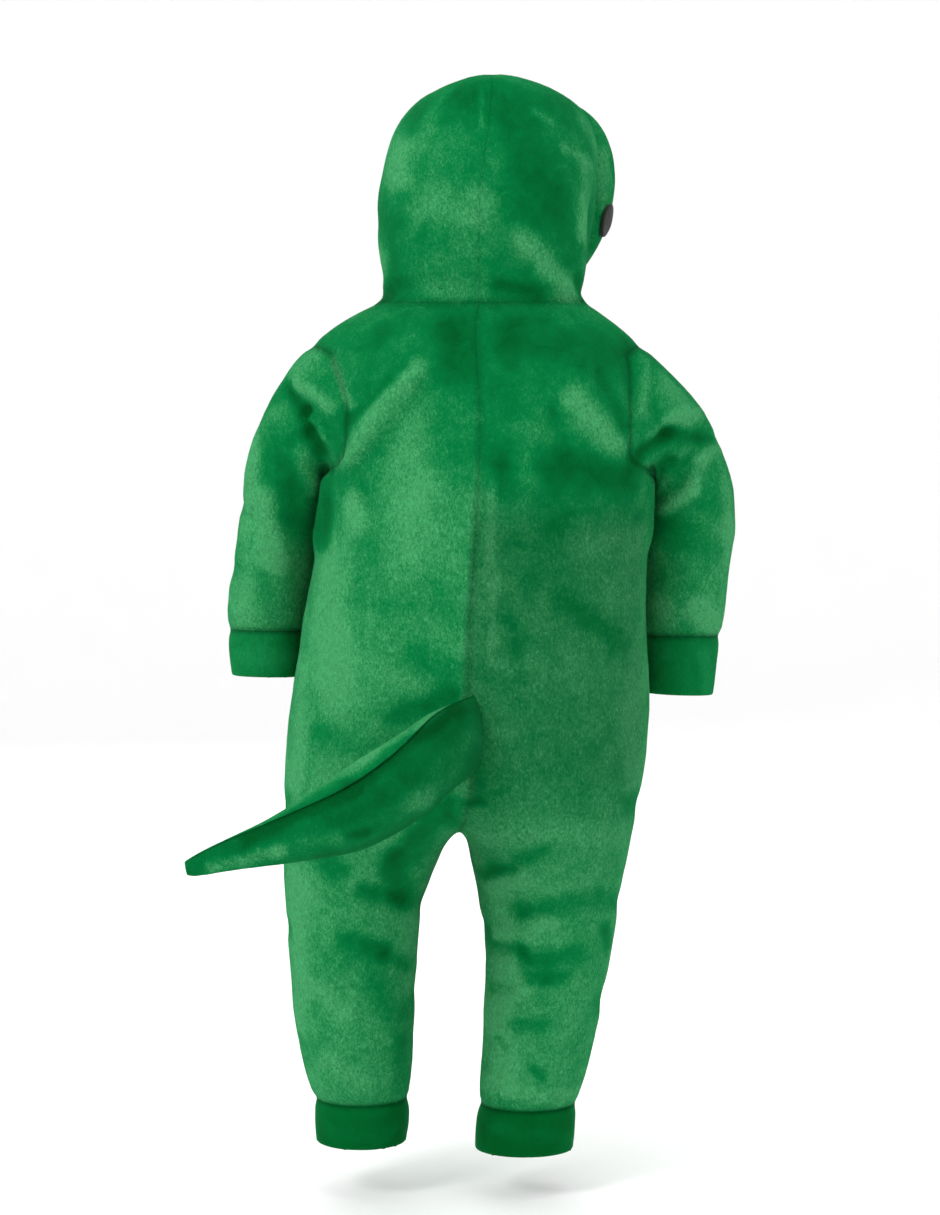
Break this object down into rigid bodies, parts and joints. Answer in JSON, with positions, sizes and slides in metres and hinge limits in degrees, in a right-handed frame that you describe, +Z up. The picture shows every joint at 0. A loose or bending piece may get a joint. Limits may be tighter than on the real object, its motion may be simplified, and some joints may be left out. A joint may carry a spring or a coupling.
{
  "type": "onesie pajamas",
  "caption": "Hooded plush onesie for a small child, filled out as worn, with long sleeves and legs, darker cuffs, a snapped front placket and a stuffed, tapering tail.",
  "frame": {"origin": "in the middle of the neck seam, between the wearer's shoulders, which hold the garment up", "axes": "+Z up, -Y the way the wearer faces, +X towards the wearer's left"},
  "size_m": [0.3588, 0.2658, 0.73],
  "materials": {
    "back_left": "short brushed plush pile",
    "back_right": "short brushed plush pile",
    "cuff_leg_left": "short plush pile, darker",
    "cuff_leg_right": "short plush pile, darker",
    "cuff_sleeve_left": "short plush pile, darker",
    "cuff_sleeve_right": "short plush pile, darker",
    "eye_left": "dense short pile",
    "eye_right": "dense short pile",
    "front_left": "short brushed plush pile",
    "front_right": "short brushed plush pile",
    "hood_band": "short brushed plush pile",
    "hood_left": "short brushed plush pile",
    "hood_right": "short brushed plush pile",
    "placket": "short brushed plush pile",
    "sleeve_left": "short brushed plush pile",
    "sleeve_right": "short brushed plush pile",
    "snap_1": "moulded, satin",
    "snap_2": "moulded, satin",
    "snap_3": "moulded, satin",
    "snap_4": "moulded, satin",
    "snap_5": "moulded, satin",
    "snap_6": "moulded, satin",
    "snap_7": "moulded, satin",
    "tail_left": "short brushed plush pile",
    "tail_right": "short brushed plush pile"
  },
  "bodies": {
    "root": {"back_left": "back_left", "back_right": "back_right", "cuff_leg_left": "cuff_leg_left", "cuff_leg_right": "cuff_leg_right", "cuff_sleeve_left": "cuff_sleeve_left", "cuff_sleeve_right": "cuff_sleeve_right", "eye_left": "eye_left", "eye_right": "eye_right", "front_left": "front_left", "front_right": "front_right", "hood_band": "hood_band", "hood_left": "hood_left", "hood_right": "hood_right", "placket": "placket", "sleeve_left": "sleeve_left", "sleeve_right": "sleeve_right", "snap_1": "snap_1", "snap_2": "snap_2", "snap_3": "snap_3", "snap_4": "snap_4", "snap_5": "snap_5", "snap_6": "snap_6", "snap_7": "snap_7", "tail_left": "tail_left", "tail_right": "tail_right"}
  },
  "joints": []
}
